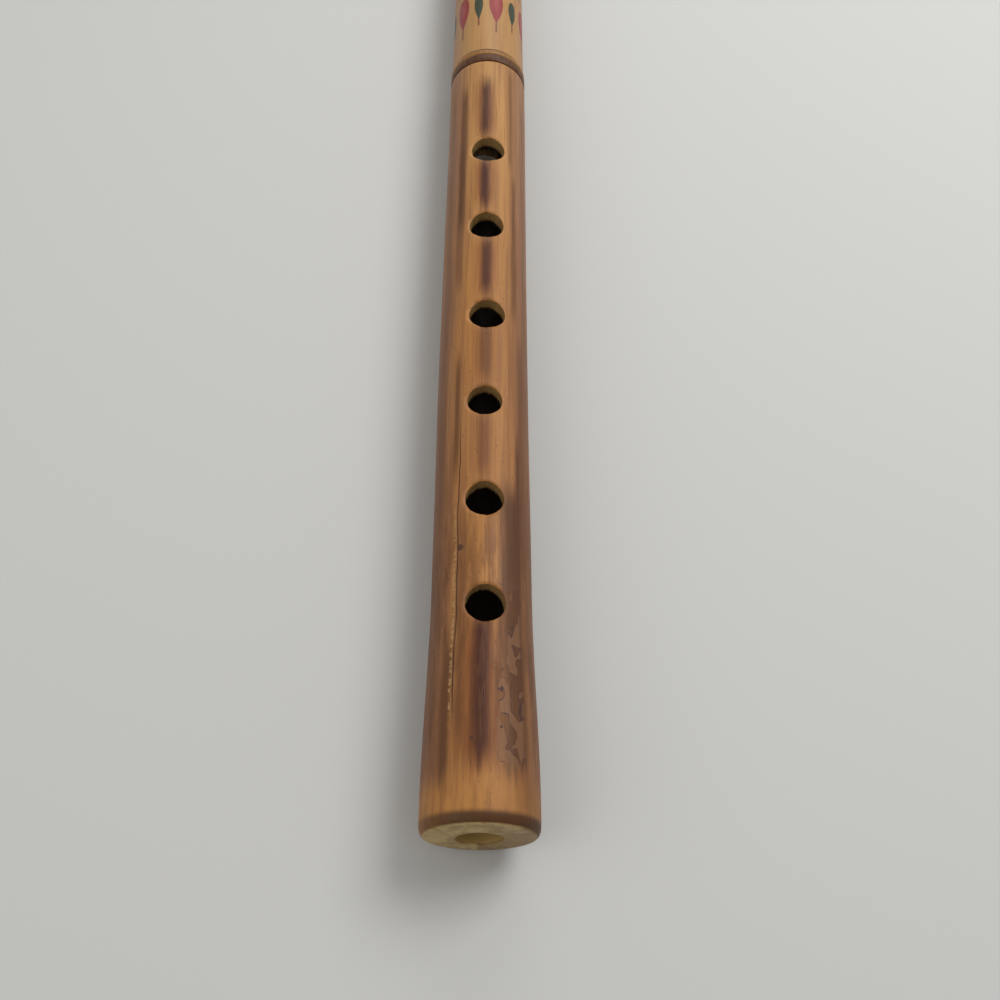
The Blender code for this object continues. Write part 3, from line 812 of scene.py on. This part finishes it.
def lathe(name, profile, segments=96, closed=False):
    """Turn a profile of (radius, y) round the flute's axis; a closed profile gives a ring."""
    body = bmesh.new()
    rings = []
    for radius, y in profile:
        turns = [2 * math.pi * i / segments for i in range(segments)] if radius else [0.0]
        rings.append([body.verts.new((radius * math.sin(t), y, AXIS_Z + radius * math.cos(t)))
                      for t in turns])
    for low, high in zip(rings, rings[1:] + rings[:1] if closed else rings[1:]):
        for i, j in next_pairs(segments):
            corners = [low[i % len(low)], low[j % len(low)], high[j % len(high)], high[i % len(high)]]
            body.faces.new(list(dict.fromkeys(corners)))
    return link_solid(name, body)


def plain_mesh(obj):
    """Replace an object's mesh by its evaluated shape, without its modifiers."""
    graph = bpy.context.evaluated_depsgraph_get()
    mesh = bpy.data.meshes.new_from_object(obj.evaluated_get(graph))
    obj.modifiers.clear()
    obj.data = mesh
    return obj


def drill_tree():
    """Geometry nodes: a ragged drill on each point, as wide as the point says.

    The tearing grows downwards through the upper wall, so a drill under the axis is torn all along.
    """
    tree = bpy.data.node_groups.new("hole_drills", "GeometryNodeTree")
    add_sockets(tree, (("Geometry", "Geometry", None), ("Depth", "Float", 0.009),
                       ("Raggedness", "Float", 0.00025), ("Material", "Material", None)),
                (("Geometry", "Geometry"),))
    g = Graph(tree)
    given, end = g.node("NodeGroupInput").outputs, g.node("NodeGroupOutput")
    drill = g.fill(g.node("GeometryNodeMeshCylinder"), Vertices=72, Side_Segments=14, Radius=1.0,
                   Depth=given["Depth"])["Mesh"]
    radius = g.fill(g.node("GeometryNodeInputNamedAttribute", data_type="FLOAT"), Name="radius")["Attribute"]
    size = g.fill(g.node("ShaderNodeCombineXYZ"), X=radius, Y=radius, Z=1.0)[0]
    copies = g.fill(g.node("GeometryNodeInstanceOnPoints"), Points=given["Geometry"], Instance=drill,
                    Scale=size)["Instances"]
    real = g.fill(g.node("GeometryNodeRealizeInstances"), Geometry=copies)[0]
    place = g.node("GeometryNodeInputPosition").outputs[0]
    torn = g.noise(place, (2600.0, 2600.0, 300.0), 2.0, 0.5)
    inner = g.ramp(g.split(place)["Z"], AXIS_Z + BORE + TORN_DEPTH, AXIS_Z + BORE)
    amount = g.times(g.math("SUBTRACT", torn, 0.45), given["Raggedness"],
                     g.math("ADD", 0.5, g.times(inner, 4.5)), -1.0)
    offset = g.node("ShaderNodeVectorMath", operation="SCALE")
    g.feed(offset.inputs[0], g.node("GeometryNodeInputNormal").outputs[0])
    g.feed(offset.inputs["Scale"], amount)
    moved = g.fill(g.node("GeometryNodeSetPosition"), Geometry=real, Offset=offset.outputs[0])[0]
    coated = g.fill(g.node("GeometryNodeSetMaterial"), Geometry=moved, Material=given["Material"])[0]
    g.feed(end.inputs[0], coated)
    return tree


def input_key(tree, name):
    """A modifier input's key, by its socket's name."""
    return next(s.identifier for s in tree.interface.items_tree if s.name == name and s.in_out == "INPUT")


def drills(name, points, material):
    """One mesh of drills, one at each (x, y, z, radius)."""
    mesh = bpy.data.meshes.new(name)
    mesh.from_pydata([p[:3] for p in points], [], [])
    radii = mesh.attributes.new("radius", "FLOAT", "POINT")
    radii.data.foreach_set("value", [p[3] for p in points])
    obj = bpy.data.objects.new(name, mesh)
    bpy.context.scene.collection.objects.link(obj)
    tree = bpy.data.node_groups.get("hole_drills") or drill_tree()
    modifier = obj.modifiers.new("drills", "NODES")
    modifier.node_group = tree
    modifier[input_key(tree, "Depth")] = DRILL_LENGTH
    modifier[input_key(tree, "Material")] = material
    return plain_mesh(obj)


def cut(obj, cutters):
    """Cut solids out of a piece, and remove them."""
    for cutter in cutters:
        boolean = obj.modifiers.new(cutter.name, "BOOLEAN")
        boolean.operation = "DIFFERENCE"
        boolean.solver = "EXACT"
        boolean.object = cutter
    bpy.context.view_layer.update()
    plain_mesh(obj)
    for cutter in cutters:
        bpy.data.objects.remove(cutter, do_unlink=True)


def dress(obj, node, body, material):
    """Give a finished piece its material and shading, tie it to its body, and hide the frame's part for its
    node.
    """
    obj.data.materials.clear()
    obj.data.materials.append(material)
    for polygon in obj.data.polygons:
        polygon.material_index = 0
    obj.data.shade_smooth()
    obj.data.set_sharp_from_angle(angle=math.radians(SHARP_DEGREES))
    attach(obj, body)
    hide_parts(node)


def body_cutters(material):
    """The lower cane's cutters: bore with socket and bowl, foot hole, finger holes, thumb hole."""
    over, seat = JOINT_Y + MM, JOINT_Y - SOCKET_DEPTH
    bowl = [(BORE * math.cos(a), FOOT_Y + (BOWL_END - BOWL_DEPTH * math.sin(a)) * MM)
            for a in (math.pi / 16 * i for i in range(8))]
    bore = lathe("bore_cutter", [(0, over), (SOCKET_RADIUS, over), (SOCKET_RADIUS, seat), (BORE, seat),
                                 *bowl, (0, FOOT_Y + SEPTUM_THICKNESS)])
    foot_axis = AXIS_Z - FOOT_HOLE_DROP
    foot_hole = closed_tube("foot_hole_cutter", [0, 0.9, 1.0, 1.3, 1.7, 2.5, 5, 9, 10.5],
                            dense_angles(5.0, 5.0, ()), foot_hole_surface,
                            ((0, FOOT_Y - MM, foot_axis), (0, FOOT_Y + BOWL_END * MM, foot_axis)))
    top = [(side * MM, FOOT_Y + place * MM, AXIS_Z + DRILL_HEIGHT, width * MM / 2)
           for place, width, side in HOLES]
    place, width = THUMB_HOLE
    back = [(0, FOOT_Y + place * MM, AXIS_Z - DRILL_HEIGHT, width * MM / 2)]
    return [bore, foot_hole, drills("finger_drills", top, material), drills("thumb_drill", back, material)]


def window_cutter():
    """The notch's window: straight sides and rounded lower corners."""
    half, corner, bottom = NOTCH_HALF_WIDTH, NOTCH_CORNER, RIM_Y - NOTCH_DEPTH
    outline = [(half, RIM_Y + MM), (-half, RIM_Y + MM)]
    for middle, start in ((corner - half, math.pi), (half - corner, 1.5 * math.pi)):
        outline += [(middle + corner * math.cos(a), bottom + corner + corner * math.sin(a))
                    for a in (start + math.pi / 2 * i / 12 for i in range(13))]
    body = bmesh.new()
    low = [body.verts.new((x, y, AXIS_Z + MM)) for x, y in outline]
    high = [body.verts.new((x, y, AXIS_Z + 14 * MM)) for x, y in outline]
    body.faces.new(low)
    body.faces.new(high)
    for i, j in next_pairs(len(outline)):
        body.faces.new((low[i], low[j], high[j], high[i]))
    return link_solid("window_cutter", body)


def ramp_cutter():
    """A tilted block that thins the notch's lower edge to its lip, with its lower sides eased."""
    rise = HEAD_RADIUS * (1 - OVALITY) - BORE - LIP_THICKNESS
    slope = math.atan2(rise, RAMP_LENGTH)
    length = NOTCH_CORNER + math.hypot(rise, RAMP_LENGTH) + RAMP_LENGTH
    block = bmesh.new()
    bmesh.ops.create_cube(block, size=1)
    bmesh.ops.scale(block, vec=(RAMP_WIDTH, length, HEAD_RADIUS), verts=block.verts)
    bmesh.ops.translate(block, vec=(0, NOTCH_CORNER - length / 2, HEAD_RADIUS / 2), verts=block.verts)
    lower_sides = [e for e in block.edges if all(v.co.z < 0.1 * MM for v in e.verts) and
                   abs(e.verts[0].co.x - e.verts[1].co.x) < 1e-6]
    bmesh.ops.bevel(block, geom=lower_sides, offset=RAMP_EASE, segments=5, profile=0.5, affect="EDGES")
    bmesh.ops.rotate(block, cent=(0, 0, 0), matrix=Matrix.Rotation(-slope, 3, "X"), verts=block.verts)
    bmesh.ops.translate(block, vec=(0, RIM_Y - NOTCH_DEPTH, AXIS_Z + BORE + LIP_THICKNESS), verts=block.verts)
    return link_solid("ramp_cutter", block)


class QUENA_OT_lower_cane(bpy.types.Operator):
    """Build the lower section: scorched cane with its foot node, finger holes and thumb hole"""

    bl_idname = "quena.lower_cane"
    bl_label = "Lower cane"

    def execute(self, context):
        material = lower_cane_material(node_groups())
        marks = [hole[0] for hole in (*HOLES, THUMB_HOLE)]
        fine_step, fine_turn = ((0.36, 1.7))
        places = dense_places(BODY_LENGTH, marks, step=2.0, fine=fine_step, reach=6.6)
        edges = [0.1, 0.3, 0.6, 1.0, 1.5, 2.0, 2.6, 3.3, 249.3, 249.6, 249.8, 249.93]
        angles = dense_angles(step=4.0, fine=fine_turn, spans=((-36, 36), (-180, -148), (148, 180)))
        tube = closed_tube("lower_cane", sorted({*places, *edges}), angles, lower_cane_surface,
                           ((0, FOOT_Y, AXIS_Z), (0, JOINT_Y, AXIS_Z)))
        cut(tube, body_cutters(material))
        dress(tube, "body_tube", "lower_section", material)
        return {"FINISHED"}


class QUENA_OT_upper_cane(bpy.types.Operator):
    """Build the upper section: plain cane with a bead, a painted border and the blowing notch"""

    bl_idname = "quena.upper_cane"
    bl_label = "Upper cane"

    def execute(self, context):
        material = upper_cane_material(node_groups())
        length = (RIM_Y - HEAD_Y) / MM
        bead = [0, 0.05, 0.12, 0.22, 0.4, 0.8, 1.4, 1.8, 1.98, 2.08, 2.15, 2.2]
        score = [2.25, 2.35, 2.5, 2.65, 2.8, 3.2]
        straight = [3.2 + (length - 4.2) * i / 48 for i in range(1, 49)]
        rim = [length - d for d in (0.8, 0.6, 0.4, 0.25, 0.12, 0.04, 0.0)]
        tube = closed_tube("upper_cane", sorted({*bead, *score, *straight, *rim}),
                           dense_angles(2.5, 2.5, ()), head_surface,
                           ((0, HEAD_Y, AXIS_Z), (0, RIM_Y, AXIS_Z)))
        over, under, seat = RIM_Y + MM, HEAD_Y - MM, HEAD_Y + HEAD_SOCKET_DEPTH
        bore = lathe("head_bore_cutter", [(0, over), (BORE + 1.2 * MM, over), (BORE, RIM_Y - 0.5 * MM),
                                          (BORE, seat), (HEAD_SOCKET_RADIUS, seat),
                                          (HEAD_SOCKET_RADIUS, under), (0, under)])
        cut(tube, [bore, window_cutter(), ramp_cutter()])
        dress(tube, "head_tube", "upper_section", material)
        return {"FINISHED"}


class QUENA_OT_joint(bpy.types.Operator):
    """Build the joint: the turned sleeve with its collar, and the cork in its groove"""

    bl_idname = "quena.joint"
    bl_label = "Joint sleeve and cork"

    def execute(self, context):
        groups = node_groups()
        low, high = SLEEVE_LOW[1], SLEEVE_HIGH[1]
        face, seat = JOINT_Y + COLLAR_GAP, HEAD_Y - COLLAR_GAP
        groove_low, groove_high = CORK_LOW[1] - 0.3 * MM, CORK_HIGH[1] + 0.3 * MM
        middle, half, ease = (face + seat) / 2, (seat - face) / 2, 0.35 * MM
        crests = [math.cos(math.pi * i / 16) for i in range(17)]
        collar = [(COLLAR_RADIUS - COLLAR_ROUNDING * abs(c) ** 4 - COLLAR_INSET, middle + half * c)
                  for c in crests]
        profile = [(BORE, high), (SPIGOT_RADIUS - ease, high), (SPIGOT_RADIUS, high - ease),
                   (SPIGOT_RADIUS, seat), *collar, (TENON_RADIUS, face), (TENON_RADIUS, groove_high),
                   (GROOVE_RADIUS, groove_high), (GROOVE_RADIUS, groove_low), (TENON_RADIUS, groove_low),
                   (TENON_RADIUS, low + ease), (TENON_RADIUS - ease, low), (BORE, low)]
        sleeve = lathe("joint_sleeve", profile, closed=True)
        dress(sleeve, "tenon_sleeve", "tenon", hardwood_material(groups))
        inner, outer, ease = CORK_RADIUS - CORK_THICKNESS, CORK_RADIUS, 0.25 * MM
        bottom, top = CORK_LOW[1] - 0.2 * MM, CORK_HIGH[1] + 0.2 * MM
        profile = [(inner, top), (outer - ease, top), (outer, top - ease),
                   (outer, bottom + ease), (outer - ease, bottom), (inner, bottom)]
        cork = lathe("joint_cork", profile, closed=True)
        dress(cork, "tenon_cork", "tenon", cork_material(groups))
        return {"FINISHED"}


class QUENA_OT_stage(bpy.types.Operator):
    """Build the stage: pale floor, soft studio lamps and the camera"""

    bl_idname = "quena.stage"
    bl_label = "Stage"

    def execute(self, context):
        scene = context.scene
        scene.view_settings.view_transform = "Standard"
        body = bmesh.new()
        bmesh.ops.create_grid(body, x_segments=1, y_segments=1, size=FLOOR_HALF_SIDE)
        floor = link_mesh("floor", body)
        material, g, shader = start_material("pale_floor")
        g.fill(shader, Base_Color=FLOOR_COLOUR, Roughness=0.9)
        floor.data.materials.append(material)
        world = bpy.data.worlds.new("soft_studio")
        world.use_nodes = True
        sky = world.node_tree.nodes["Background"]
        sky.inputs["Color"].default_value = SKY_COLOUR
        sky.inputs["Strength"].default_value = SKY_STRENGTH
        scene.world = world
        for name, place, size, energy in LAMPS:
            light = bpy.data.lights.new(name, "AREA")
            light.size = size
            light.energy = energy
            lamp = bpy.data.objects.new(name, light)
            lamp.location = place
            lamp.rotation_euler = (-Vector(place)).to_track_quat("-Z", "Y").to_euler()
            scene.collection.objects.link(lamp)
        self.add_camera(scene)
        return {"FINISHED"}

    def add_camera(self, scene):
        """The scene's camera, as fitted to the photograph."""
        camera = bpy.data.objects.new("camera", bpy.data.cameras.new("camera"))
        forward, up = Vector(CAMERA_FORWARD).normalized(), Vector(CAMERA_UP).normalized()
        right = forward.cross(up).normalized()
        turn = Matrix((right, right.cross(forward), -forward)).transposed()
        camera.matrix_world = Matrix.Translation(CAMERA_PLACE) @ turn.to_4x4()
        camera.data.sensor_width = SENSOR
        camera.data.sensor_fit = "HORIZONTAL"
        camera.data.lens = FOCAL_PIXELS / FRAME_PIXELS * SENSOR
        camera.data.clip_start = NEAREST
        camera.data.shift_x = SHIFT_PIXELS / FRAME_PIXELS
        scene.collection.objects.link(camera)
        scene.camera = camera


class QUENA_PT_panel(bpy.types.Panel):
    """Sidebar panel with the quena's settings and pieces"""

    bl_idname = "QUENA_PT_panel"
    bl_label = "Cane quena"
    bl_space_type = "VIEW_3D"
    bl_region_type = "UI"
    bl_category = "Quena"

    def draw(self, context):
        column = self.layout.column()
        for name in QuenaLooks.__annotations__:
            column.prop(context.scene.quena_looks, name)
        for operator in OPERATORS:
            column.operator(operator.bl_idname)


OPERATORS = (QUENA_OT_stage, QUENA_OT_lower_cane, QUENA_OT_upper_cane, QUENA_OT_joint)
CLASSES = (QuenaLooks, *OPERATORS, QUENA_PT_panel)


def register():
    """Register the classes and the scene's settings."""
    for cls in CLASSES:
        bpy.utils.register_class(cls)
    bpy.types.Scene.quena_looks = bpy.props.PointerProperty(type=QuenaLooks)


def unregister():
    """Remove the settings and the classes."""
    del bpy.types.Scene.quena_looks
    for cls in reversed(CLASSES):
        bpy.utils.unregister_class(cls)


def main():
    """Build everything in order."""
    register()
    bpy.ops.quena.stage()
    bpy.ops.quena.lower_cane()
    bpy.ops.quena.upper_cane()
    bpy.ops.quena.joint()


if __name__ == "__main__":
    main()
